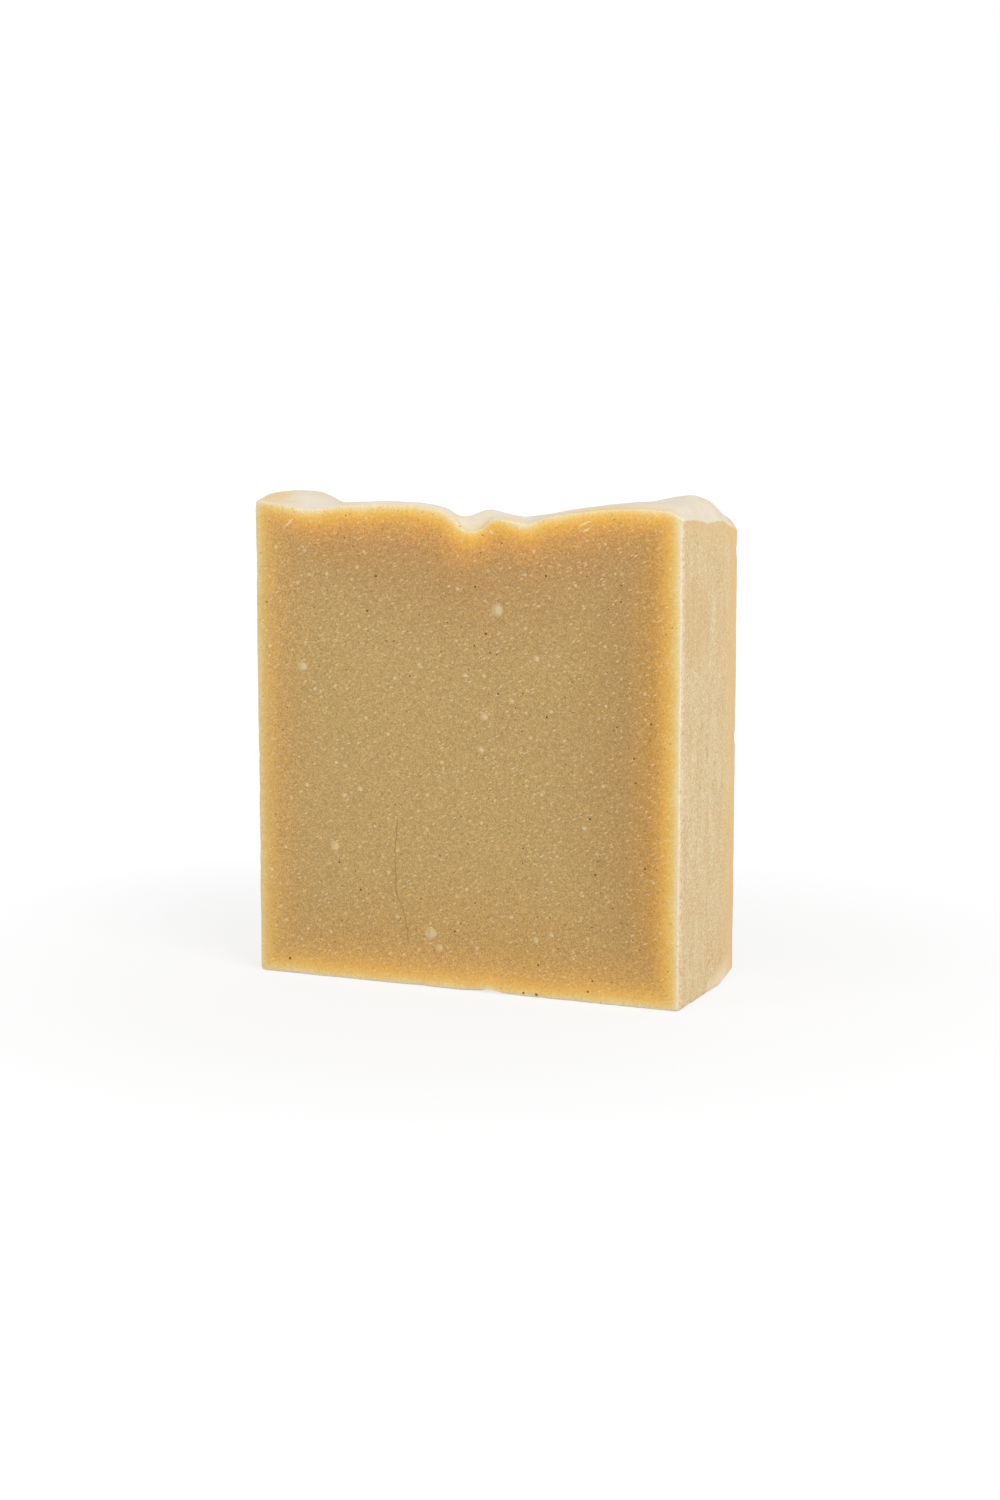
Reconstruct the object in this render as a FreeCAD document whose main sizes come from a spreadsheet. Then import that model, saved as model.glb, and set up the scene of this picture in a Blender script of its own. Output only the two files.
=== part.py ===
"""Bar of hand-cut soap: one slice of a cast loaf, standing on the loaf's underside.

Millimetres. X runs across the loaf, Y along it, which is the slice's thickness, and Z up. The origin is the
middle of the underside. The large faces at the front (-Y) and the back (+Y) are cut. The narrow sides and the
underside took the walls of the mould. The top is the loaf's open surface, spooned into lumps and hollows.
"""

import FreeCAD, Part
import math
import os
from FreeCAD import Placement, Rotation, Vector

# Driving dimensions: cell alias, size, what it is.
SIZES = [
    ("width", 69.2, "across the loaf, from mould wall to mould wall"),
    ("thickness", 25.0, "along the loaf, the pitch of the cutter's wires"),
    ("fill_level", 69.7, "height that the lumps and hollows of the top are counted from"),
    ("headroom", 8.0, "material above the fill level, before the top is spooned"),
    ("front_edge_radius", 0.8, "upright edges of the front face"),
    ("back_edge_radius", 1.2, "upright edges of the back face"),
    ("foot_radius", 0.6, "edge round the underside"),
    ("crest_radius", 0.5, "edge round the top"),
    ("chip_length", 8.5, "knocked corner: along the foot of the right wall"),
    ("chip_rise", 1.8, "knocked corner: up the back upright edge"),
    ("chip_reach", 2.0, "knocked corner: along the foot of the back face"),
    ("foot_nick_radius", 8.0, "scoop out of the front face's foot"),
    ("edge_nick_radius", 1.5, "small scoops out of the right wall's back edge"),
]

# Lumps and hollows of the open top. Each middle is counted from a side of the slice, first across it (-1 left
# wall, 0 middle, 1 right wall), then along it (-1 front face, 1 back face): side, distance, side, distance.
# Then come the half width across, the half length along, and the rise or fall.
TOP_FORMS = [
    ("lump along the left wall", -1, 5.8, -1, 1.6, 11.3, 12.3, 6.0),
    ("wave in that lump's front", -1, 7.6, -1, 0.1, 7.5, 4.3, -3.5),
    ("plateau left of the spoon mark", 0, -9.9, -1, 1.4, 11.5, 3.3, 4.9),
    ("spoon mark, wide part", 0, 0.5, -1, 1.6, 2.1, 1.5, -3.3),
    ("spoon mark, steep part", 0, 2.8, -1, -0.9, 1.3, 2.1, -2.1),
    ("fold behind the spoon mark", 0, 2.1, -1, 4.1, 3.6, 1.5, 1.4),
    ("groove right of the fold", 0, 10.3, -1, 0.6, 2.0, 4.7, -0.8),
    ("rise to the right wall", 1, -6.0, -1, 5.4, 22.0, 17.1, 4.7),
    ("ridge along the right wall", 1, -4.7, 1, -7.9, 5.9, 4.8, 1.9),
    ("valley at the back", 0, -11.8, 1, -4.2, 10.1, 20.4, -3.8),
    ("slump at the right back corner", 1, 2.3, 1, 0.3, 1.9, 3.4, -3.7),
    ("slump along the right wall", 1, 0.0, 1, -11.0, 1.3, 13.5, -2.4),
]
TOP_STEP = 0.6  # spacing of the points that the top's surface passes through
TOP_OVERHANG = 1.0  # how far that surface runs past the slice on every side

# Where the slice's faces are, as expressions of the sheet.
RIGHT = "sizes.width / 2"
FRONT = "-sizes.thickness / 2"
BACK = "sizes.thickness / 2"

# Nicks: name, cell with the radius, and the scoop's middle (x, y, z) as expressions of the sheet.
EDGE_NICK_X = f"{RIGHT} + sizes.edge_nick_radius / 2"
NICKS = [
    ("foot_nick", "foot_nick_radius", "4.0", f"{FRONT} - 1", "0.6 - sizes.foot_nick_radius"),
    ("upper_edge_nick", "edge_nick_radius", EDGE_NICK_X, BACK, "sizes.fill_level - 3.7"),
    ("lower_edge_nick", "edge_nick_radius", EDGE_NICK_X, BACK, "sizes.fill_level - 32.1"),
]


def make_sheet(doc):
    """The spreadsheet of driving dimensions, one aliased cell a size."""
    sheet = doc.addObject("Spreadsheet::Sheet", "sizes")
    for row, (alias, size, meaning) in enumerate(SIZES, start=1):
        sheet.set(f"A{row}", alias)
        sheet.set(f"B{row}", str(size))
        sheet.set(f"C{row}", meaning)
        sheet.setAlias(f"B{row}", alias)
    doc.recompute()
    return sheet


def make_block(doc):
    """The slice as cut from a loaf with a flat top."""
    block = doc.addObject("Part::Box", "block")
    block.setExpression("Length", "sizes.width")
    block.setExpression("Width", "sizes.thickness")
    block.setExpression("Height", "sizes.fill_level + sizes.headroom")
    block.setExpression("Placement.Base.x", "-sizes.width / 2")
    block.setExpression("Placement.Base.y", "-sizes.thickness / 2")
    return block


def top_height(sheet, x, y):
    """Height of the loaf's open top over the point (x, y)."""
    height = sheet.fill_level
    for _, side_x, off_x, side_y, off_y, half_width, half_length, rise in TOP_FORMS:
        across = x - (side_x * sheet.width / 2 + off_x)
        along = y - (side_y * sheet.thickness / 2 + off_y)
        height += rise * math.exp(-((across / half_width) ** 2) - (along / half_length) ** 2)
    return height


def spread(half, step):
    """Evenly spaced places from -half to half, at most a step apart."""
    count = math.ceil(2 * half / step) + 1
    return [-half + 2 * half * i / (count - 1) for i in range(count)]


def make_air_over_loaf(doc, sheet):
    """The empty space over the loaf: all that lies above its open surface."""
    columns = spread(sheet.width / 2 + TOP_OVERHANG, TOP_STEP)
    rows = spread(sheet.thickness / 2 + TOP_OVERHANG, TOP_STEP)
    surface = Part.BSplineSurface()
    surface.interpolate([[Vector(x, y, top_height(sheet, x, y)) for y in rows] for x in columns])
    air = doc.addObject("Part::Feature", "air_over_loaf")
    air.Shape = surface.toShape().extrude(Vector(0, 0, 3 * sheet.headroom))
    return air


def round_edges(body, name, size, wanted):
    """Rounds those edges of the body whose middle and direction there satisfy wanted(middle, direction)."""
    base = body.Tip
    names = []
    for number, edge in enumerate(base.Shape.Edges, start=1):
        if edge.Degenerated:
            continue
        middle = (edge.FirstParameter + edge.LastParameter) / 2
        if wanted(edge.valueAt(middle), edge.tangentAt(middle)):
            names.append(f"Edge{number}")
    fillet = body.newObject("PartDesign::Fillet", name)
    fillet.Base = (base, names)
    fillet.setExpression("Radius", f"sizes.{size}")
    body.Tip = fillet
    body.Document.recompute()


def make_worn_slice(doc, sheet):
    """The slice with its spooned top and with its edges worn round."""
    spooned = doc.addObject("Part::Cut", "spooned_slice")
    spooned.Base = make_block(doc)
    spooned.Tool = make_air_over_loaf(doc, sheet)
    doc.recompute()

    body = doc.addObject("PartDesign::Body", "worn_slice")
    body.BaseFeature = spooned
    doc.recompute()
    top_from = sheet.fill_level - sheet.headroom
    round_edges(body, "front_edges", "front_edge_radius", lambda at, way: abs(way.z) > 0.99 and at.y < 0)
    round_edges(body, "back_edges", "back_edge_radius", lambda at, way: abs(way.z) > 0.99 and at.y > 0)
    round_edges(body, "foot", "foot_radius", lambda at, way: at.z < 0.001)
    round_edges(body, "crest", "crest_radius", lambda at, way: abs(way.z) < 0.99 and at.z > top_from)
    return body


def make_nicks(doc):
    """Small scoops that were knocked out of the edges."""
    nicks = []
    for name, size, *middle in NICKS:
        nick = doc.addObject("Part::Sphere", name)
        nick.setExpression("Radius", f"sizes.{size}")
        for axis, place in zip("xyz", middle):
            nick.setExpression(f"Placement.Base.{axis}", place)
        nicks.append(nick)
    return nicks


def make_corner_chip(doc, sheet):
    """What was knocked off the foot of the slice at its right back corner, down to one flat break."""
    corner = Vector(sheet.width / 2, sheet.thickness / 2, 0)
    on_wall = corner - Vector(0, sheet.chip_length, 0)
    on_upright = corner + Vector(0, 0, sheet.chip_rise)
    on_back = corner - Vector(sheet.chip_reach, 0, 0)
    outward = (on_upright - on_wall).cross(on_back - on_wall)
    if outward.dot(corner - on_wall) < 0:
        outward = -outward
    chip = doc.addObject("Part::Box", "corner_chip")
    for side in ("Length", "Width", "Height"):
        chip.setExpression(side, "2 * sizes.chip_length")
    turn = Rotation(Vector(0, 0, 1), outward)
    middle = (on_wall + on_upright + on_back) / 3
    chip.Placement = Placement(middle - turn.multVec(Vector(sheet.chip_length, sheet.chip_length, 0)), turn)
    return chip


def make_soap_bar(doc, sheet):
    """The finished bar."""
    bar = make_worn_slice(doc, sheet)
    for tool in [*make_nicks(doc), make_corner_chip(doc, sheet)]:
        cut = doc.addObject("Part::Cut", f"less_{tool.Name}")
        cut.Base = bar
        cut.Tool = tool
        bar = cut
    bar.Label = "soap_bar"
    doc.recompute()
    return bar


def check(doc, parts):
    """Stops the build if a feature failed or a part isn't one sound solid."""
    for item in doc.Objects:
        if {"Invalid", "Error"} & set(item.State):
            raise RuntimeError(f"{item.Name} failed: {item.State}")
    for part in parts:
        shape = part.Shape
        if shape.isNull() or not shape.isValid() or len(shape.Solids) != 1:
            raise RuntimeError(f"{part.Label} isn't one valid solid")


def main():
    doc = FreeCAD.newDocument("soap")
    sheet = make_sheet(doc)
    parts = [make_soap_bar(doc, sheet)]
    check(doc, parts)
    os.makedirs("parts", exist_ok=True)
    for part in parts:
        part.Shape.exportStep(f"parts/{part.Label}.step")
        box = part.Shape.optimalBoundingBox()
        print(f"{part.Label}: {box.XLength:.2f} x {box.YLength:.2f} x {box.ZLength:.2f} mm")
        print(f"{part.Shape.Volume / 1000:.2f} cm3, {len(part.Shape.Faces)} faces")


main()
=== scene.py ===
# Looks of the hand-cut bar of soap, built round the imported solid. Shapes are worked out in millimetres.

import math

import bpy
import numpy as np
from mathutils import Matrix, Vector, noise
from mathutils.bvhtree import BVHTree
from mathutils.kdtree import KDTree


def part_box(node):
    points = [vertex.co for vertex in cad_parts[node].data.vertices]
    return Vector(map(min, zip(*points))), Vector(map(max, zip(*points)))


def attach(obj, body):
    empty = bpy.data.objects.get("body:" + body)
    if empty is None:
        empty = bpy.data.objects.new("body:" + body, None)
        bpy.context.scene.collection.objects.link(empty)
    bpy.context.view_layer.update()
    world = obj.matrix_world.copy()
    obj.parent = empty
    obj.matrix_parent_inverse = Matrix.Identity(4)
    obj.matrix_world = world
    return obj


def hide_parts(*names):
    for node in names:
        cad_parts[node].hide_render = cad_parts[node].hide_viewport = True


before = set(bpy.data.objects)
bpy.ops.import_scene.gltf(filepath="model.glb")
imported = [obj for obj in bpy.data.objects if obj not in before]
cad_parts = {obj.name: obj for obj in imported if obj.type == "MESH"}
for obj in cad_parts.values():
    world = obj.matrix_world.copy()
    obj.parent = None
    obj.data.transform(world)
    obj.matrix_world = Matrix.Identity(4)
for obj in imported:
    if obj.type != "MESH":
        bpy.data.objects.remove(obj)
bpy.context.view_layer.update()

MM = 0.001
NODE = "soap_bar"

# The skin's lattice, in mm: cell size at the bar's edges and inside its faces, and the way between them.
FINE_CELL = 0.175
COARSE_CELL = 0.46
GROW_OVER = 3.0
EDGE_CELLS = 9  # cells of the top next to its edges that are laid on the solid's rounding
TOP_INSET = 0.6  # mm from the edge in which the top's own height is no longer read

# The camera, from the perspective of the bar's edges in the photograph: degrees, metres, and mm of lens.
VIEW_AZIMUTH = 23.109
VIEW_ELEVATION = 9.379
VIEW_DISTANCE = 0.490307
VIEW_TARGET = (0.000665, 0.0, 0.035072)
LENS = 76.958

# Soft boxes: name, place, edge length, watts. The world gives the rest.
LAMPS = [
    ("key", (0.65, -0.45, 0.6), 0.5, 4.4),
    ("fill", (-0.5, -0.7, 0.3), 0.6, 1.9),
    ("back", (0.1, 0.7, 0.8), 0.6, 0.8),
]
WORLD_STRENGTH = 0.52

# What shows on the front face. Places are across from its middle and up from its foot, in mm.
FRONT = -12.5
BUBBLES = [  # filled air bubbles and pale lumps: across, up, size
    (5.5, 58.2, 1.9),
    (11.8, 51.3, 1.0),
    (-26.7, 48.1, 1.5),
    (3.4, 42.1, 1.2),
    (7.8, 44.8, 0.9),
    (2.9, 37.1, 0.9),
    (-21.4, 20.7, 1.5),
    (-5.4, 8.5, 1.9),
    (-4.0, 6.3, 1.2),
    (-11.0, 10.6, 0.8),
    (11.8, 8.9, 0.9),
    (14.3, 9.9, 0.8),
    (-19.8, 28.6, 0.8),
    (0.2, 48.2, 0.8),
    (3.4, 48.3, 0.8),
    (19.5, 26.5, 0.7),
    (7.8, 12.1, 0.7),
    (10.0, 63.6, 0.6),
    (10.8, 39.4, 0.6),
    (2.2, 6.8, 0.6),
    (30.5, 19.2, 0.6),
    (-17.2, 29.8, 0.8),
    (22.4, 32.9, 0.6),
    (-25.4, 62.2, 0.5),
    (-17.3, 63.6, 0.6),
]
GRAINS = [  # dark grains of herb: across, up, size
    (3.7, 54.6, 0.42),
    (13.3, 63.6, 0.36),
    (5.7, 45.7, 0.34),
    (13.5, 42.7, 0.36),
    (29.9, 42.6, 0.34),
    (-14.2, 62.4, 0.36),
    (-17.1, 14.2, 0.36),
    (20.4, 27.9, 0.36),
    (21.3, 19.6, 0.34),
    (20.2, 1.8, 0.4),
    (12.2, 5.1, 0.36),
    (-29.3, 2.4, 0.5),
    (11.9, 0.5, 0.6),
    (9.8, 0.6, 0.42),
    (2.0, 61.5, 0.34),
    (-15.7, 57.1, 0.36),
    (27.3, 37.4, 0.34),
    (29.1, 21.1, 0.34),
    (27.6, 33.8, 0.3),
    (-8.7, 47.6, 0.3),
    (-1.4, 9.1, 0.32),
    (25.1, 60.3, 0.3),
    (-20.7, 18.2, 0.3),
    (-32.6, 57.7, 0.34),
    (24.6, 41.9, 0.3),
    (4.4, 51.8, 0.3),
    (20.9, 3.5, 0.34),
]
SCRATCHES = [  # bright scratches: from across, up, to across, up
    (-29.5, 69.2, -27.8, 70.7),
    (18.3, 71.0, 20.5, 72.0),
    (18.9, 70.3, 20.3, 71.0),
    (4.4, 70.0, 4.9, 69.3),
]
CRACK = [  # hairline crack, from its top down: up, across
    (27.7, -10.1),
    (23.2, -11.1),
    (15.4, -11.2),
    (11.8, -10.0),
    (6.3, -9.0),
]

# What shows on the right wall. Places are along from its middle and up from its foot, in mm.
WALL = 34.6
WALL_STRETCH = 0.45  # its marks are taller than they are wide
WALL_STREAKS = [  # brown streaks: along, up, size
    (-6.2, 68.4, 0.9),
    (-4.9, 39.8, 0.7),
    (-3.6, 41.4, 0.7),
    (0.3, 43.2, 0.6),
    (-1.3, 37.2, 0.8),
    (2.4, 61.6, 0.6),
]
WALL_SPOTS = [  # orange spots: along, up, size
    (2.6, 55.5, 0.5),
    (-8.7, 51.4, 0.5),
    (1.1, 61.1, 0.5),
    (9.0, 67.6, 1.0),
    (-11.6, 2.2, 0.6),
]
WALL_TONES_AND_PAINTED_LIGHT = [  # broad warm patches, and pale patches at the foot that are painted light from the floor over its shade: along, up, size, strength, colour
    (-7.0, 58.0, 9.0, 0.6, (219, 178, 116)),
    (5.5, 54.0, 7.0, 0.35, (222, 182, 122)),
    # These three pale patches at the foot are painted light, lifting the shade where the wall turns under.
    (1.5, 0.4, 2.6, 0.7, (250, 234, 204)),
    (5.5, 0.6, 3.6, 0.8, (250, 234, 204)),
    (9.5, 1.0, 4.4, 0.9, (252, 238, 212)),
]

# What shows on the top and its front edge. Places are across and along from the middle, in mm.
CREASES = [  # small sharp forms: across, along, half width, half length, rise
    (2.6, -8.6, 2.4, 1.1, 0.38),
    (-1.2, -9.4, 1.1, 1.6, -0.12),
    (-26.5, -6.0, 1.6, 3.0, 0.15),
    (30.4, 2.0, 0.9, 4.5, 0.14),
]
DIPS = [  # where its pale skin runs further down the front, or less far: across, half width, depth
    (-24.5, 3.0, 0.15),
    (-17.5, 4.0, 0.12),
    (4.2, 2.8, -0.6),
    (9.9, 2.4, 0.2),
    (25.0, 9.0, -0.3),
]
BLEEDS = [  # where the ring's yellow runs back over it from the front edge: across, half width, reach
    (1.2, 2.6, 2.2),
    (9.0, 3.0, 0.5),
    (24.0, 11.0, 0.9),
]
ASH_SPOTS_AND_PAINTED_LIGHT = [  # where its ash is thinner or whiter, and over the notch painted light that pales its shade: place (across, along, up), size, colour
    ((WALL, 12.5, 67.5), 5.5, (236, 199, 134)),
    # Over the notch: painted light that pales the shade of its hollow.
    ((0.8, -9.6, 71.4), 3.3, (238, 229, 210)),
    ((-31.8, -10.5, 73.2), 3.2, (238, 208, 154)),
]

# Wear, in mm.
UNEVEN = [  # soft unevenness: amount, size of its features, seed, the faces that have it
    (0.06, 17, 3.1, "cut"),
    (0.05, 8, 9.7, "wall"),
    (0.015, (1.7, 1.7, 4.0), 5.5, "wall"),
    (0.10, 3.4, 1.3, "top"),
    (0.03, 1.1, 7.7, "top"),
]
NIBBLE_DEPTH = 0.16
NIBBLE_REACH = 0.8
BUBBLE_RISE = 0.05
CRUMBS_AT, CRUMBS_HALF_WIDTH, CRUMBS_TOP = 4.1, 2.6, 2.0  # chalky crumbs on the foot's edge
CHALK_OF_CRUMBS = 0.9


def srgb(red, green, blue):
    """A colour given in 0-255 as linear RGBA."""
    channels = []
    for value in (red, green, blue):
        share = value / 255
        channels.append(share / 12.92 if share <= 0.04045 else ((share + 0.055) / 1.055) ** 2.4)
    return (*channels, 1.0)


# ---- shape ----

FAR = 99.0  # distance in mm of a point that has no outline near it
LOW = 9.0  # mm below the top for the faces that don't reach it
RING_END = 20.0  # depth at which the ring inside a cut's outline has faded
RING_BLEND = 0.3  # how much the rings of two sides round off where they meet
CREST_OFFSET = 0.15  # how much deeper in its ring the crest starts
SIDE_REACH = 3.5  # how far a side's own colours reach into the ring of the next
FRONT_BAND = 0.9  # width of the pale band of the walls at their front edge
BACK_BAND = 4.4  # width of the warm band at their back edge


def stops(length):
    """Places from 0 to length, close together at both ends and wider apart between them."""
    at = [0.0]
    while at[-1] < length / 2:
        share = min(1.0, at[-1] / GROW_OVER)
        at.append(at[-1] + FINE_CELL + (COARSE_CELL - FINE_CELL) * share)
    half = np.array(at) * (length / 2 / at[-1])
    return np.concatenate([half, length - half[-2::-1]])


def box_lattice(counts):
    """The points of a box's skin as an index array (count, 3), and each face's grid of point numbers.

    Each grid runs so that its first step crossed with its second points out of the box.
    """
    nx, ny, nz = counts
    on_skin = np.zeros((nx + 1, ny + 1, nz + 1), bool)
    on_skin[[0, -1]] = True
    on_skin[:, [0, -1]] = True
    on_skin[:, :, [0, -1]] = True
    number = np.full(on_skin.shape, -1)
    number[on_skin] = np.arange(on_skin.sum())
    faces = {
        "front": number[:, 0, :],
        "back": number[:, -1, :].T,
        "left": number[0, :, :].T,
        "right": number[-1, :, :],
        "under": number[:, :, 0].T,
        "top": number[:, :, -1],
    }
    return np.argwhere(on_skin), faces


def quads_of(grid):
    """The grid's cells as rows of four point numbers."""
    return np.stack([grid[:-1, :-1], grid[1:, :-1], grid[1:, 1:], grid[:-1, 1:]], -1).reshape(-1, 4)


def relax(values, edges, rounds, amount):
    """Moves each value towards the mean of its neighbours' values."""
    size = len(values)
    degree = np.bincount(edges.ravel(), minlength=size)
    for _ in range(rounds):
        total = np.zeros_like(values)
        for here, there in ((0, 1), (1, 0)):
            for axis in range(values.shape[1]):
                total[:, axis] += np.bincount(edges[:, here], values[edges[:, there], axis], size)
        values = values + amount * (total / degree[:, None] - values)
    return values


def normals_of(points, quads):
    """Unit normals of the points."""
    corner = points[quads]
    face = np.cross(corner[:, 2] - corner[:, 0], corner[:, 3] - corner[:, 1])
    total = np.zeros_like(points)
    for turn in range(4):
        for axis in range(3):
            total[:, axis] += np.bincount(quads[:, turn], face[:, axis], len(points))
    return total / np.linalg.norm(total, axis=1)[:, None]


def noise_at(points, size, seed=0.0):
    """Smooth noise from about -1 to 1 with features of that size in mm, or a size for each axis."""
    scaled = points / np.asarray(size) + seed
    return np.array([noise.noise(Vector(p)) for p in scaled])


def top_heights(solid, xs, ys):
    """Height of the solid's top over the lattice of places, smoothed over the solid's facets."""
    x_in = np.clip(xs, xs[0] + TOP_INSET, xs[-1] - TOP_INSET)
    y_in = np.clip(ys, ys[0] + TOP_INSET, ys[-1] - TOP_INSET)
    over, down = 100, Vector((0, 0, -1))
    heights = np.array([[solid.ray_cast(Vector((x, y, over)), down)[0].z for y in y_in] for x in x_in])
    for _ in range(4):
        wide = np.pad(heights, 1, mode="edge")
        across = (wide[:-2, 1:-1] + 2 * heights + wide[2:, 1:-1]) / 4
        wide = np.pad(across, 1, mode="edge")
        heights = (wide[1:-1, :-2] + 2 * across + wide[1:-1, 2:]) / 4
    return heights


def skin():
    """Points, quads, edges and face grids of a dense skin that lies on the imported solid, in mm."""
    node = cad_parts[NODE]
    low, high = (np.array(corner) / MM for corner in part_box(NODE))
    corners = [v.co / MM for v in node.data.vertices]
    solid = BVHTree.FromPolygons(corners, [p.vertices[:] for p in node.data.polygons])

    places = [stops(length) for length in high - low]
    index, faces = box_lattice([len(p) - 1 for p in places])
    xs, ys = places[0] + low[0], places[1] + low[1]
    heights = top_heights(solid, xs, ys)
    i, j, k = index.T
    share = places[2][k] / places[2][-1]
    points = np.stack([xs[i], ys[j], share * heights[i, j]], -1)

    on_top = k == k.max()
    for number in (i, j):
        on_top &= (number > EDGE_CELLS) & (number < number.max() - EDGE_CELLS)
    for n in np.flatnonzero(~on_top):
        points[n] = solid.find_nearest(Vector(points[n]))[0]
    quads = np.concatenate([quads_of(grid) for grid in faces.values()])
    edges = np.concatenate([quads[:, [corner, (corner + 1) % 4]] for corner in range(4)])
    edges = np.unique(np.sort(edges, 1), axis=0)
    points = relax(points, edges, 3, 0.5)
    return points, quads, edges, faces


def from_line(points, line):
    """Distance of each point from a line of points."""
    parts = [line[:-1] + (line[1:] - line[:-1]) * share for share in (0, 0.25, 0.5, 0.75)]
    dense = np.concatenate(parts + [line[-1:]])
    tree = KDTree(len(dense))
    for n, place in enumerate(dense):
        tree.insert(place, n)
    tree.balance()
    return np.array([tree.find(p)[2] for p in points])


def sides_of(grid):
    """A grid's four sides as point numbers."""
    return grid[0, :], grid[-1, :], grid[:, 0], grid[:, -1]


def rim_distance(points, faces):
    """Distance of each point from the outline of its own face."""
    distance = np.full(len(points), FAR)
    for grid in faces.values():
        numbers = grid.ravel()
        for side in sides_of(grid):
            distance[numbers] = np.minimum(distance[numbers], from_line(points[numbers], points[side]))
    return distance


def face_share(count, faces, edges, *names):
    """How far each point belongs to those faces, from 0 to 1, softened across their edges."""
    inside, total = np.zeros(count), np.zeros(count)
    for name, grid in faces.items():
        numbers = np.unique(grid)
        total[numbers] += 1
        if name in names:
            inside[numbers] += 1
    return relax((inside / total)[:, None], edges, 3, 0.6)[:, 0]


# Each side of a cut face: its shares in the colours of the right, the foot and the crest, how much chalky
# wear its edge has, at the foot partly painted light that lifts the shade of its rounding, and how level it
# lies.
SIDES = {
    "left": (0.0, 0.0, 0.0, 0.25, 0.0),
    "right": (1.0, 0.0, 0.0, 0.9, 0.0),
    # The foot's value is raised as painted light, paling the shade where its rounding turns under.
    "foot": (0.0, 1.0, 0.0, 0.6, 1.0),
    "crest": (0.0, 0.0, 1.0, 0.15, 1.0),
}
OFF_THE_CUTS = 0.3  # what these values are on the other faces


def ring_of_cuts(points, faces):
    """Depth into the ring that follows a cut face's outline, in mm, and the shares of its sides."""
    ring = np.full(len(points), RING_END)
    shares = np.full((len(points), len(SIDES["left"])), OFF_THE_CUTS)
    for grid in (faces["front"], faces["back"].T):
        numbers = grid.ravel()
        here = points[numbers]
        away = {name: from_line(here, points[side]) for name, side in zip(SIDES, sides_of(grid))}
        for across, half_width, drop in DIPS:
            away["crest"] = away["crest"] - drop * np.exp(-(((here[:, 0] - across) / half_width) ** 2))
        away["crest"] = away["crest"] + CREST_OFFSET
        ring[numbers] = -RING_BLEND * np.log(sum(np.exp(-d / RING_BLEND) for d in away.values()))
        pull = np.stack([np.exp(-away[name] / SIDE_REACH) for name in SIDES], -1)
        shares[numbers] = pull @ np.array(list(SIDES.values())) / pull.sum(1)[:, None]
    return ring, shares.T


def edge_bands(points, faces):
    """On the mould walls: closeness to the front and to the back edges, from 1 to 0, and mm below the top."""
    near_front, near_back = np.zeros(len(points)), np.zeros(len(points))
    below = np.full(len(points), LOW)
    half = points[:, 1].max()
    for name in ("left", "right", "under"):
        numbers = faces[name].ravel()
        y = points[numbers, 1]
        near_front[numbers] = np.exp(-(((y + half) / FRONT_BAND) ** 2))
        near_back[numbers] = np.exp(-(((half - y) / BACK_BAND) ** 2))
    for grid in (faces["left"].T, faces["right"]):
        below[grid] = points[grid[:, -1:], 2] - points[grid, 2]
    return near_front, near_back, below


def bleed_of_top(points, faces):
    """How far each point of the top takes the ring's yellow, from 0 to 1."""
    bleed = np.zeros(len(points))
    grid = faces["top"]
    x, y = points[grid, 0], points[grid, 1]
    back = y - points[grid[:, :1], 1]
    for across, half_width, reach in BLEEDS:
        share = np.exp(-(((x - across) / half_width) ** 4) - np.maximum(back, 0) / reach)
        bleed[grid] = np.maximum(bleed[grid], share)
    return bleed


def worn(points, normals, rim, share):
    """The points with the unevenness of a cast, cut and handled bar."""
    push = np.zeros(len(points))
    for amount, size, seed, name in UNEVEN:
        push += amount * noise_at(points, size, seed) * share[name]
    for across, along, half_width, half_length, rise in CREASES:
        away = ((points[:, 0] - across) / half_width) ** 2 + ((points[:, 1] - along) / half_length) ** 2
        push += rise * np.exp(-away) * share["top"]
    near = np.exp(-((rim / NIBBLE_REACH) ** 2))
    small = np.clip(noise_at(points, 2.1, 4.4) - 0.1, 0, 1)
    large = np.clip(noise_at(points, 6.5, 8.8), 0, 1)
    push -= NIBBLE_DEPTH * (small + 0.6 * large) * near * (1 - 0.6 * share["top"])
    for across, up, size in BUBBLES:
        away = np.linalg.norm(points - (across, FRONT, up), axis=1)
        push += BUBBLE_RISE * np.exp(-((away / size * 2) ** 4))
    points = points + normals * push[:, None]
    points[:, 2] = np.maximum(points[:, 2], 0)  # the bar stands on its underside
    return points


def make_mesh(name, points, quads, attributes):
    """A smooth-shaded object of those points in mm, with the named values on its points."""
    mesh = bpy.data.meshes.new(name)
    mesh.from_pydata((points * MM).tolist(), [], quads.tolist())
    for label, values in attributes.items():
        mesh.attributes.new(label, "FLOAT", "POINT").data.foreach_set("value", values.astype(np.float32))
    mesh.polygons.foreach_set("use_smooth", np.ones(len(quads), bool))
    mesh.validate()
    piece = bpy.data.objects.new(name, mesh)
    bpy.context.scene.collection.objects.link(piece)
    return piece


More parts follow.
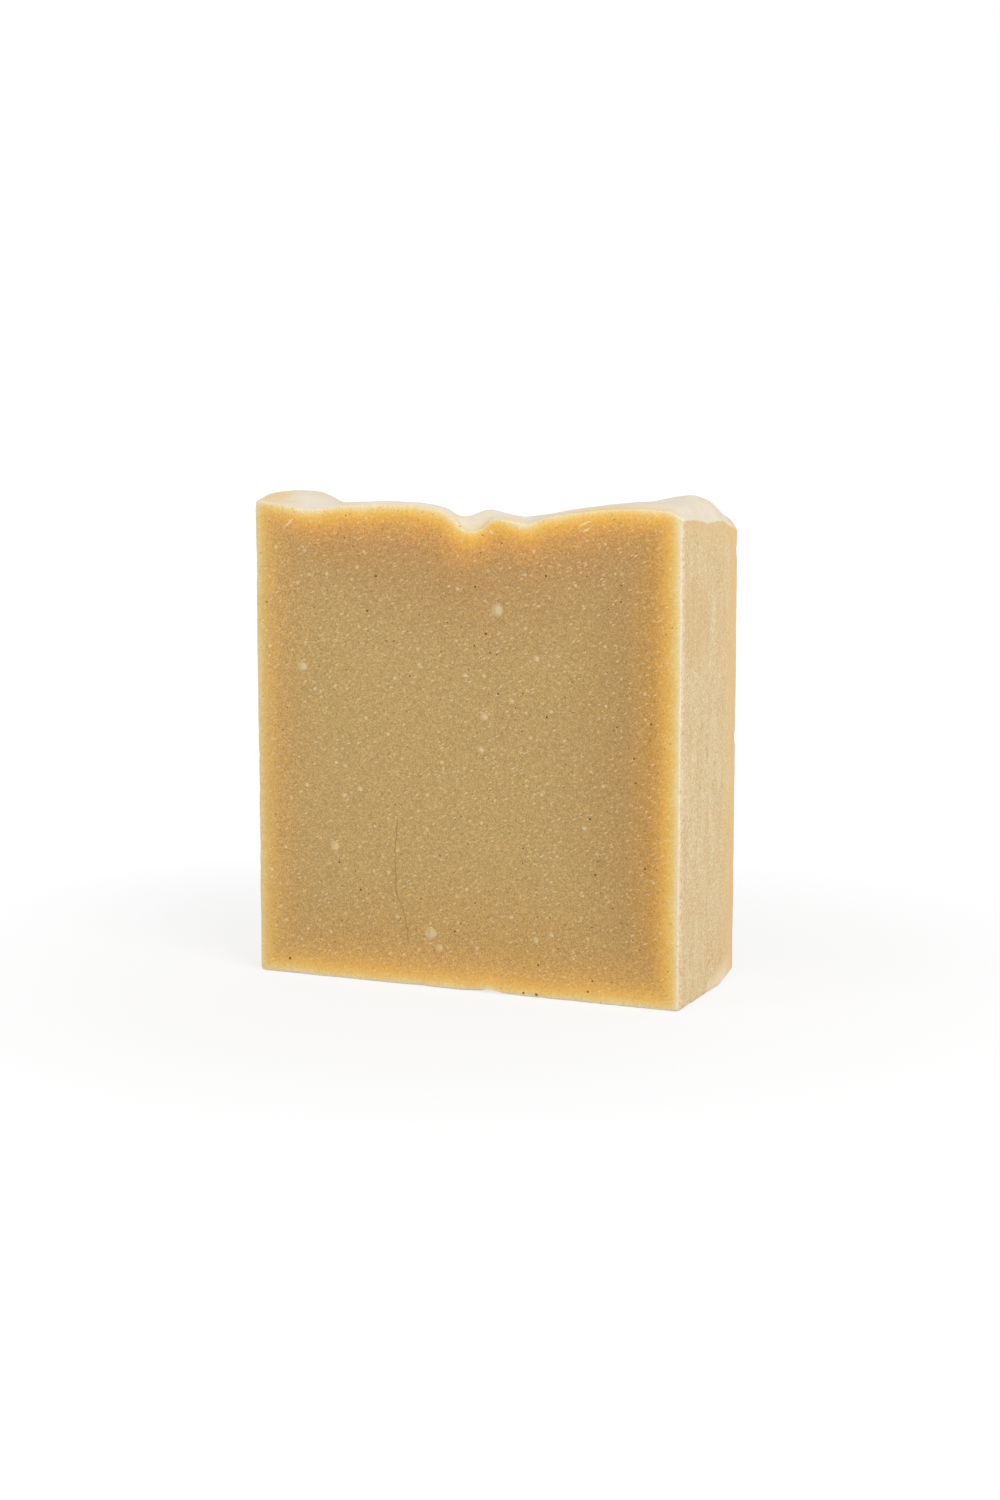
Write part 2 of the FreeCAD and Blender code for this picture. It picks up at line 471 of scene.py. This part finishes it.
def make_soap():
    """The bar, with the values that its material reads on its points."""
    points, quads, edges, faces = skin()
    count = len(points)
    share = {
        "cut": face_share(count, faces, edges, "front", "back"),
        "top": face_share(count, faces, edges, "top"),
        "wall": face_share(count, faces, edges, "left", "right", "under"),
    }
    rim = rim_distance(points, faces)
    ring, (by_right, by_foot, by_crest, chalk_and_foot_light, level) = ring_of_cuts(points, faces)
    crumbs = np.exp(-(((points[:, 0] - CRUMBS_AT) / CRUMBS_HALF_WIDTH) ** 2)) * (points[:, 2] < CRUMBS_TOP)
    chalk_and_foot_light = chalk_and_foot_light + CHALK_OF_CRUMBS * crumbs
    near_front, near_back, below = edge_bands(points, faces)
    bleed = bleed_of_top(points, faces)
    points = worn(points, normals_of(points, quads), rim, share)
    values = {
        "rim": rim,
        "ring": ring,
        "by_right": by_right,
        "by_foot": by_foot,
        "by_crest": by_crest,
        "chalk_and_foot_light": chalk_and_foot_light,
        "level": level,
        "near_front": near_front,
        "near_back": near_back,
        "below": below,
        "bleed": bleed,
        **share,
    }
    return make_mesh("soap_slice", points, quads, values)


# ---- materials ----


class Graph:
    """A material's node tree, with short ways to add its nodes."""

    def __init__(self, name):
        self.material = bpy.data.materials.new(name)
        self.material.use_nodes = True
        self.tree = self.material.node_tree
        self.tree.nodes.clear()

    def node(self, kind, inputs=None, **settings):
        """Adds a node. A setting is a property; an input is a number, a colour or another node's output."""
        made = self.tree.nodes.new(kind)
        for key, value in settings.items():
            setattr(made, key, value)
        for key, value in (inputs or {}).items():
            if isinstance(value, bpy.types.NodeSocket):
                self.tree.links.new(value, made.inputs[key])
            else:
                made.inputs[key].default_value = value
        return made

    def value(self, attribute):
        """A value that the mesh carries on its points."""
        return self.node("ShaderNodeAttribute", attribute_name=attribute).outputs["Fac"]

    def place(self, scale=(1, 1, 1), turn=(0, 0, 0), offset=(0, 0, 0)):
        """The place on the object in mm, turned, then stretched by scale and shifted."""
        at = self.node("ShaderNodeTexCoord").outputs["Object"]
        inputs = {"Vector": at, "Scale": (1 / MM, 1 / MM, 1 / MM), "Rotation": turn}
        turned = self.node("ShaderNodeMapping", inputs).outputs[0]
        return self.vector("MULTIPLY_ADD", turned, scale, offset)

    def math(self, operation, *values):
        return self.node("ShaderNodeMath", dict(enumerate(values)), operation=operation).outputs[0]

    def vector(self, operation, *values, output="Vector"):
        return self.node("ShaderNodeVectorMath", dict(enumerate(values)), operation=operation).outputs[output]

    def noise(self, vector, scale, detail=3.0, roughness=0.55):
        inputs = {"Vector": vector, "Scale": scale, "Detail": detail, "Roughness": roughness}
        return self.node("ShaderNodeTexNoise", inputs).outputs["Fac"]

    def span(self, value, low, high, to_low=0.0, to_high=1.0, shape="SMOOTHSTEP"):
        """The value's way from low to high, as a smooth step between two other numbers."""
        inputs = {"Value": value, "From Min": low, "From Max": high, "To Min": to_low, "To Max": to_high}
        return self.node("ShaderNodeMapRange", inputs, interpolation_type=shape).outputs[0]

    def mix(self, share, first, second, blend="MIX"):
        """Two colours mixed by a share."""
        made = self.node("ShaderNodeMix", data_type="RGBA", blend_type=blend)
        for socket, value in ((made.inputs[0], share), (made.inputs[6], first), (made.inputs[7], second)):
            if isinstance(value, bpy.types.NodeSocket):
                self.tree.links.new(value, socket)
            else:
                socket.default_value = value
        return made.outputs[2]

    def tint(self, colour, share, strength, second):
        """The colour mixed with a second one by a share times a strength."""
        return self.mix(self.math("MULTIPLY", share, strength), colour, second)

    def ramp(self, value, colours):
        """Colours by value: pairs of (place from 0 to 1, colour)."""
        made = self.node("ShaderNodeValToRGB", {"Fac": value})
        points = made.color_ramp.elements
        while len(points) < len(colours):
            points.new(0.5)
        for point, (place, _) in zip(points, colours):  # a point that passes another one changes its number
            point.position = place
        for point, (place, colour) in zip(points, colours):
            point.position = place
            point.color = colour
        return made.outputs["Color"]

    def specks(self, vector, scale, low, high, chance, seed):
        """Round specks in a random share of cells: up to 1 in a speck, 0 outside it."""
        shift = (seed, seed * 1.7, -seed)
        moved = self.node("ShaderNodeMapping", {"Vector": vector, "Location": shift}).outputs[0]
        cells = self.node("ShaderNodeTexVoronoi", {"Vector": moved, "Scale": scale})
        lot = self.node("ShaderNodeSeparateColor", {"Color": cells.outputs["Color"]})
        radius = self.math("MULTIPLY_ADD", lot.outputs["Green"], high - low, low)
        inside = self.math("SUBTRACT", radius, cells.outputs["Distance"])
        shape = self.span(inside, 0.0, low * 0.8)
        strength = self.math("MULTIPLY_ADD", lot.outputs["Blue"], 0.7, 0.3)
        drawn = self.math("MULTIPLY", self.math("LESS_THAN", lot.outputs["Red"], chance), strength)
        return self.math("MULTIPLY", shape, drawn)

    def blend(self, share, first, second):
        """Two numbers mixed by a share."""
        return self.node("ShaderNodeMix", {0: share, 2: first, 3: second}, data_type="FLOAT").outputs[0]

    def any_of(self, masks):
        """The largest of the masks."""
        largest = masks[0]
        for mask in masks[1:]:
            largest = self.math("MAXIMUM", largest, mask)
        return largest

    def patch(self, vector, place, reach, core):
        """One soft round patch: 1 up to the core's distance from its place, and 0 beyond its reach."""
        return self.span(self.vector("DISTANCE", vector, place, output="Value"), reach, core)

    def spots(self, vector, places):
        """1 in round spots: rows of a place and its size."""
        return self.any_of([self.patch(vector, place, size * 0.55, size * 0.35) for place, size in places])

    def strokes(self, vector, lines, width):
        """1 on straight strokes on the front face: rows of across and up at both ends."""
        masks = []
        for x0, z0, x1, z1 in lines:
            middle = ((x0 + x1) / 2, FRONT, (z0 + z1) / 2)
            half = math.hypot(x1 - x0, z1 - z0) / 2
            angle = math.atan2(z1 - z0, x1 - x0)
            inputs = {"Vector": self.vector("SUBTRACT", vector, middle), "Rotation": (0, angle, 0)}
            turned = self.node("ShaderNodeMapping", inputs).outputs[0]
            squeezed = self.vector("MULTIPLY", turned, (1 / half, 0.5, 2 / width))
            masks.append(self.span(self.vector("LENGTH", squeezed, output="Value"), 1.1, 0.6))
        return self.any_of(masks)

    def hairline(self, vector, line, width):
        """1 on a thin line on the front face that runs down through rows of up and across."""
        parts = self.node("ShaderNodeSeparateXYZ", {0: vector}).outputs
        top, foot = line[0][0], line[-1][0]
        low = min(across for _, across in line)
        reach = max(across for _, across in line) - low
        curve = self.node("ShaderNodeFloatCurve", {"Value": self.span(parts["Z"], foot, top, shape="LINEAR")})
        points = curve.mapping.curves[0].points
        rows = [((up - foot) / (top - foot), (across - low) / reach) for up, across in reversed(line)]
        for row in rows[1:-1]:
            points.new(*row)
        for point, row in zip(points, rows):
            point.location = row
        curve.mapping.update()
        across = self.math("MULTIPLY_ADD", curve.outputs[0], reach, low)
        away = self.math("ABSOLUTE", self.math("SUBTRACT", parts["X"], across))
        fade_foot, fade_top, fade_back = 1.0, 3.0, (1.0, 2.0)
        drawn = self.math(
            "MULTIPLY",
            self.span(parts["Z"], foot, foot + fade_foot),
            self.span(parts["Z"], top, top - fade_top),
        )
        on_front = self.span(parts["Y"], FRONT + fade_back[1], FRONT + fade_back[0])
        drawn = self.math("MULTIPLY", drawn, on_front)
        return self.math("MULTIPLY", self.span(away, width, width * 0.3), drawn)


# The ring that a cut shows inside its outline, partly a real drier rim and partly painted glow of light that
# passes through the bar's edges, at the foot also painted light from the floor: depth in mm and the colour
# there, by the outline's sides.
LEFT_RING = [
    (0.0, (224, 209, 174)),
    (0.5, (222, 196, 139)),
    (1.2, (216, 179, 103)),
    (2.1, (209, 168, 95)),
    (3.8, (199, 158, 93)),
    (6.5, (191, 155, 94)),
    (11.0, (189, 157, 98)),
]
RIGHT_RING = [
    (0.0, (230, 213, 176)),
    (0.5, (230, 204, 146)),
    (1.1, (229, 191, 108)),
    (1.9, (224, 176, 86)),
    (2.9, (211, 161, 79)),
    (4.4, (194, 147, 77)),
    (8.5, (180, 144, 86)),
    (20.0, (187, 155, 97)),
]
FOOT_RING = [
    (0.0, (230, 217, 184)),
    (0.4, (233, 204, 139)),
    (0.9, (230, 192, 110)),
    (1.8, (225, 177, 90)),
    (2.7, (215, 168, 90)),
    (4.2, (204, 160, 92)),
    (7.3, (191, 154, 91)),
    (20.0, (189, 157, 98)),
]
CREST_RING = [
    (0.0, (238, 226, 200)),
    (0.4, (236, 217, 172)),
    (0.9, (240, 203, 121)),
    (1.4, (237, 188, 90)),
    (2.2, (228, 171, 75)),
    (3.6, (210, 155, 82)),
    (6.4, (190, 146, 86)),
    (9.5, (184, 146, 89)),
    (20.0, (187, 155, 97)),
]


def cut_colour_of(g, mm):
    """The colour of a cut face and its bump."""
    # The ring, its depth disturbed by waves and by streaks at right angles to the outline.
    across = g.noise(g.place((0.35, 1.0, 3.2)), 1.0, 3.0, 0.6)
    upright = g.noise(g.place((3.2, 1.0, 0.35)), 1.0, 3.0, 0.6)
    streaks = g.blend(g.value("level"), across, upright)
    waves = g.math("MULTIPLY_ADD", g.noise(mm, 0.18, 2.0), 0.9, -0.45)
    depth = g.math("ADD", g.value("ring"), waves)
    depth = g.math("ADD", depth, g.math("MULTIPLY_ADD", streaks, 0.8, -0.4))
    depth = g.math("DIVIDE", depth, RING_END)
    # The ring's colours: a drier rim with painted glow of light through the edges, and painted floor light at
    # the foot.
    left, right, foot, crest = (
        g.ramp(depth, [(at / RING_END, srgb(*paint)) for at, paint in rows])
        for rows in (LEFT_RING, RIGHT_RING, FOOT_RING, CREST_RING)
    )
    by_right, by_foot, by_crest = (g.value(name) for name in ("by_right", "by_foot", "by_crest"))
    below_crest = g.math("SUBTRACT", 1.0, by_crest)
    upright_sides = g.math("SUBTRACT", below_crest, by_foot)
    least = 0.001  # keeps the divisions from 0
    colour = g.mix(g.math("DIVIDE", by_right, g.math("MAXIMUM", upright_sides, least)), left, right)
    colour = g.mix(g.math("DIVIDE", by_foot, g.math("MAXIMUM", below_crest, least)), colour, foot)
    colour = g.mix(by_crest, colour, crest)

    # Grain and specks, fainter in the ring than inside it.
    inner = g.span(g.value("ring"), 0.4, 5.0, 0.35, 1.0)
    grain = g.noise(mm, 4.2, 4.0, 0.85)
    bright = g.math("MULTIPLY_ADD", g.math("SUBTRACT", grain, 0.5), g.math("MULTIPLY", inner, 2.3), 1.0)
    colour = g.mix(1.0, colour, bright, "MULTIPLY")
    patches = g.span(g.noise(mm, 0.3, 3.0, 0.6), 0.34, 0.62, 0.2, 1.0)
    fine = g.specks(g.place((1.0, 1.0, 1.6), turn=(0, 0.5, 0)), 2.3, 0.16, 0.42, 0.75, 0.0)
    colour = g.tint(colour, g.math("MULTIPLY", fine, patches), 0.55, srgb(232, 211, 162))
    rising = g.specks(g.place((0.7, 1.0, 2.2), turn=(0, 0.45, 0)), 1.0, 0.16, 0.42, 0.6, 2.9)
    colour = g.tint(colour, rising, 0.6, srgb(233, 215, 172))
    falling = g.specks(g.place((0.8, 1.0, 1.9), turn=(0, -0.7, 0)), 0.9, 0.14, 0.38, 0.5, 4.3)
    colour = g.tint(colour, falling, 0.5, srgb(231, 212, 167))
    pale = g.specks(mm, 0.8, 0.12, 0.28, 0.4, 3.7)
    colour = g.tint(colour, pale, 0.55, srgb(231, 213, 170))
    lumps = g.specks(g.place((1.0, 1.0, 1.4)), 0.34, 0.1, 0.26, 0.4, 6.1)
    uneven = g.span(g.noise(mm, 2.0), 0.4, 0.6, 0.4, 1.0)
    colour = g.tint(colour, g.math("MULTIPLY", lumps, uneven), 0.45, srgb(216, 197, 150))
    brown = g.specks(mm, 1.4, 0.12, 0.3, 0.6, 5.3)
    colour = g.tint(colour, brown, 0.5, g.mix(inner, srgb(196, 130, 56), srgb(146, 95, 44)))
    herb = g.mix(inner, srgb(184, 112, 42), srgb(98, 55, 20))
    dark = g.specks(mm, 0.9, 0.11, 0.2, 0.4, 8.3)
    colour = g.tint(colour, dark, 1.0, herb)

    # The marks that have their own places, with ragged outlines where they are pale.
    swirl = g.node("ShaderNodeTexNoise", {"Vector": mm, "Scale": 1.1}).outputs["Color"]
    bent = g.vector("MULTIPLY_ADD", swirl, (0.6, 0.6, 0.6), g.place(offset=(-0.3, -0.3, -0.3)))
    bubbles = g.spots(bent, [((across, FRONT, up), 1.1 * size) for across, up, size in BUBBLES])
    colour = g.tint(colour, bubbles, 0.5, srgb(212, 190, 143))
    # Painted highlight: a smaller pale disc shifted to the right side of each bubble, where the light catches
    # it.
    bubble_highlights = g.spots(bent, [((across + 0.2 * size, FRONT, up), 0.7 * size) for across, up, size in BUBBLES])
    colour = g.tint(colour, bubble_highlights, 0.55, srgb(219, 200, 158))
    grains = g.spots(mm, [((across, FRONT, up), size) for across, up, size in GRAINS])
    colour = g.tint(colour, grains, 1.0, herb)
    scratches = g.strokes(bent, SCRATCHES, width=0.3)
    colour = g.tint(colour, scratches, 0.6, srgb(240, 226, 196))
    crack = g.hairline(bent, CRACK, width=0.15)
    colour = g.tint(colour, crack, 0.6, srgb(150, 114, 64))

    raised = g.math("MULTIPLY", g.any_of([pale, rising]), 0.4)
    bump = g.math("MULTIPLY_ADD", grain, g.math("MULTIPLY", inner, 0.9), raised)
    bump = g.math("SUBTRACT", bump, g.math("MULTIPLY", g.any_of([dark, crack, brown, grains]), 0.6))
    bump = g.math("ADD", bump, g.math("MULTIPLY", g.any_of([bubbles, lumps]), 0.5))
    return colour, bump


def wall_colour_of(g, mm):
    """The colour of a mould wall and its bump: a pale skin with soft upright smears and mottling."""
    smears = g.noise(g.place((0.8, 0.8, 0.2), turn=(0.06, 0, 0)), 0.5, 3.0, 0.6)
    mottle = g.noise(mm, 2.1, 5.0, 0.85)
    grit = g.math("MULTIPLY_ADD", g.noise(mm, 5.4, 2.0, 0.7), 0.42, g.math("MULTIPLY", smears, 0.13))
    tone = g.math("MULTIPLY_ADD", mottle, 0.45, grit)
    tones = [(0.42, srgb(206, 168, 106)), (0.5, srgb(226, 200, 147)), (0.58, srgb(242, 225, 188))]
    colour = g.ramp(tone, tones)
    cream = g.specks(g.place((1.0, 1.4, 0.8)), 1.5, 0.14, 0.32, 0.5, 1.9)
    colour = g.tint(colour, cream, 0.62, srgb(243, 230, 200))
    tan = g.specks(g.place((1.0, 1.3, 0.6)), 1.2, 0.12, 0.28, 0.4, 5.1)
    colour = g.tint(colour, tan, 0.45, srgb(196, 148, 82))
    orange = g.specks(mm, 0.6, 0.07, 0.13, 0.35, 7.7)
    colour = g.tint(colour, orange, 0.85, srgb(206, 134, 46))
    stretched = g.place((1.0, 1.0, WALL_STRETCH))
    for marks, strength, paint in ((WALL_STREAKS, 0.55, (190, 142, 80)), (WALL_SPOTS, 0.75, (216, 150, 68))):
        spots = g.spots(stretched, [((WALL, along, up * WALL_STRETCH), size) for along, up, size in marks])
        broken = g.math("MULTIPLY", spots, g.span(mottle, 0.4, 0.58, 1.0, 0.2))
        colour = g.tint(colour, broken, strength, srgb(*paint))
    peach = g.span(g.noise(mm, 0.6, 4.0, 0.65), 0.5, 0.64)
    colour = g.tint(colour, peach, 0.4, srgb(229, 188, 134))
    uneven = g.span(mottle, 0.42, 0.56, 1.0, 0.45)
    # Warm patches, and pale patches at the foot that are painted light over its shade.
    for along, up, size, strength, paint in WALL_TONES_AND_PAINTED_LIGHT:
        patch = g.patch(mm, (WALL, along, up), size, size * 0.3)
        colour = g.tint(colour, g.math("MULTIPLY", patch, uneven), strength, srgb(*paint))
    colour = g.tint(colour, g.span(g.value("below"), 6.0, 0.0), 0.5, srgb(234, 194, 134))
    warm = g.math("MULTIPLY", g.value("near_back"), g.span(g.noise(mm, 0.35, 2.0), 0.2, 0.55, 0.75, 1.0))
    colour = g.tint(colour, warm, 1.0, srgb(240, 197, 130))
    verge = g.span(g.value("near_back"), 0.93, 0.995)
    colour = g.tint(colour, verge, 0.9, srgb(245, 230, 196))
    pale = g.math("MULTIPLY", g.value("near_front"), g.span(mottle, 0.42, 0.56, 0.1, 1.0))
    colour = g.tint(colour, pale, 0.7, srgb(238, 228, 202))
    bump = g.math("MULTIPLY_ADD", tone, 1.4, g.math("MULTIPLY", tan, -0.4))
    return colour, bump


def top_colour_of(g, mm):
    """The colour of the open top and its bump: whitish ash, thin and yellow in a few places, with painted
    light over the shade of its notch.
    """
    ash = g.noise(mm, 0.16, 4.0, 0.6)
    tones = [(0.28, srgb(238, 212, 160)), (0.38, srgb(234, 220, 196)), (0.6, srgb(236, 227, 210))]
    colour = g.ramp(ash, tones)
    ragged = g.span(g.noise(mm, 0.9, 4.0, 0.6), 0.3, 0.6, 0.55, 1.0)
    colour = g.mix(g.value("bleed"), colour, srgb(241, 206, 134))
    # Ash spots, and over the notch painted light that pales its shade.
    for place, size, paint in ASH_SPOTS_AND_PAINTED_LIGHT:
        patch = g.patch(mm, place, size, size * 0.4)
        colour = g.tint(colour, g.math("MULTIPLY", patch, ragged), 0.85, srgb(*paint))
    speckle = g.noise(mm, 2.2, 3.0, 0.7)
    shades = g.ramp(speckle, [(0.35, srgb(176, 174, 170)), (0.65, srgb(200, 200, 200))])
    return g.mix(0.5, colour, shades, "SOFT_LIGHT"), g.math("MULTIPLY", speckle, 1.2)


def soap_material():
    """Cured soap: cut faces, mould walls and open top, with their own colours and bumps."""
    g = Graph("soap_surface")
    rim, cut, top = (g.value(name) for name in ("rim", "cut", "top"))
    mm = g.place()
    cut_colour, cut_bump = cut_colour_of(g, mm)
    wall_colour, wall_bump = wall_colour_of(g, mm)
    top_colour, top_bump = top_colour_of(g, mm)

    # The top's ash hangs a little over the walls, with a ragged edge.
    edge = g.math("MULTIPLY_ADD", g.noise(mm, 0.9, 3.0), 0.7, 0.15)
    drape = g.math("MULTIPLY", g.math("LESS_THAN", g.value("below"), edge), 0.85)
    colour = g.mix(cut, wall_colour, cut_colour)
    colour = g.mix(g.math("MAXIMUM", top, drape), colour, top_colour)

    # Chalky wear along the edges, and along the foot's edge also painted light that lifts the shade of its
    # rounding.
    crumbs = g.span(g.noise(g.place((1.3, 1.3, 0.8)), 1.5, 3.0, 0.6), 0.36, 0.58, 0.25, 1.0)
    worn = g.math("MULTIPLY", crumbs, g.math("MULTIPLY", g.span(rim, 0.35, 0.0), g.value("chalk_and_foot_light")))
    colour = g.tint(colour, worn, 1.0, srgb(242, 235, 219))

    height = g.blend(top, g.blend(cut, wall_bump, cut_bump), top_bump)
    bump = g.node("ShaderNodeBump", {"Strength": 0.5, "Distance": 0.0001, "Height": height})
    shader = g.node(
        "ShaderNodeBsdfPrincipled",
        {
            "Base Color": colour,
            "Roughness": g.span(top, 0.0, 1.0, 0.5, 0.8),
            "Normal": bump.outputs[0],
            "Specular IOR Level": 0.3,
            "Subsurface Weight": 0.12,
            "Subsurface Radius": (1.0, 0.6, 0.25),
            "Subsurface Scale": 0.0008,
        },
    )
    g.node("ShaderNodeOutputMaterial", {"Surface": shader.outputs[0]})
    return g.material


# ---- stage, lights, camera ----

WHITE = (1, 1, 1, 1)
FLOOR_COLOUR = (0.8, 0.8, 0.8, 1)
FLOOR_GLOW = 1.06
SHADOW_NEAR, SHADOW_FAR = 0.04, 0.16  # metres from the middle between which the shadow fades out
GLOW_SHARE_NEAR = 0.72
FLOOR_SIZE = 8.0


def stage_material():
    """White floor that keeps a soft shadow near the object and fades to the white background."""
    g = Graph("pale_floor")
    path = g.node("ShaderNodeLightPath").outputs
    seen = g.any_of([path[name] for name in ("Is Glossy Ray", "Is Transmission Ray", "Is Camera Ray")])
    place = g.node("ShaderNodeNewGeometry").outputs["Position"]
    far = g.vector("LENGTH", place, output="Value")
    matt = g.node("ShaderNodeBsdfDiffuse", {"Color": FLOOR_COLOUR}).outputs[0]
    glow = g.node("ShaderNodeEmission", {"Color": WHITE, "Strength": FLOOR_GLOW}).outputs[0]
    lit = g.math("MULTIPLY", seen, g.span(far, SHADOW_NEAR, SHADOW_FAR, GLOW_SHARE_NEAR, 1.0))
    made = g.node("ShaderNodeMixShader", {0: lit, 1: matt, 2: glow}).outputs[0]
    g.node("ShaderNodeOutputMaterial", {"Surface": made})
    return g.material


def make_stage():
    """The floor."""
    bpy.ops.mesh.primitive_plane_add(size=FLOOR_SIZE)
    floor = bpy.context.object
    floor.name = "floor"
    floor.data.materials.append(stage_material())


def make_world():
    """Soft light from all round, and plain white where the camera or a reflection sees it."""
    world = bpy.data.worlds.new("studio")
    bpy.context.scene.world = world
    world.use_nodes = True
    tree = world.node_tree
    tree.nodes.clear()
    path = tree.nodes.new("ShaderNodeLightPath").outputs
    seen = tree.nodes.new("ShaderNodeMath")
    seen.operation = "MAXIMUM"
    tree.links.new(path["Is Camera Ray"], seen.inputs[0])
    tree.links.new(path["Is Glossy Ray"], seen.inputs[1])
    strength = tree.nodes.new("ShaderNodeMapRange")
    strength.inputs["To Min"].default_value = WORLD_STRENGTH
    strength.inputs["To Max"].default_value = 1.0
    tree.links.new(seen.outputs[0], strength.inputs["Value"])
    background = tree.nodes.new("ShaderNodeBackground")
    background.inputs["Color"].default_value = WHITE
    tree.links.new(strength.outputs[0], background.inputs["Strength"])
    output = tree.nodes.new("ShaderNodeOutputWorld")
    tree.links.new(background.outputs[0], output.inputs[0])


def aim(piece, place, target):
    """Puts a lamp or camera at a place, looking at the target."""
    piece.location = place
    piece.rotation_euler = (Vector(place) - Vector(target)).to_track_quat("Z", "Y").to_euler()


def make_lights():
    for name, place, size, watts in LAMPS:
        light = bpy.data.lights.new(name, "AREA")
        light.size = size
        light.energy = watts
        lamp = bpy.data.objects.new(name, light)
        bpy.context.scene.collection.objects.link(lamp)
        aim(lamp, place, VIEW_TARGET)


def make_camera():
    azimuth, elevation = math.radians(VIEW_AZIMUTH), math.radians(VIEW_ELEVATION)
    back = Vector((
        math.sin(azimuth) * math.cos(elevation),
        -math.cos(azimuth) * math.cos(elevation),
        math.sin(elevation),
    ))
    camera = bpy.data.objects.new("camera", bpy.data.cameras.new("camera"))
    camera.data.lens = LENS
    camera.data.clip_start = 0.01
    bpy.context.scene.collection.objects.link(camera)
    aim(camera, Vector(VIEW_TARGET) + back * VIEW_DISTANCE, VIEW_TARGET)
    bpy.context.scene.camera = camera


soap = make_soap()
soap.data.materials.append(soap_material())
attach(soap, "root")
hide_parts(NODE)
make_stage()
make_world()
make_lights()
make_camera()
bpy.context.scene.view_settings.view_transform = "Standard"
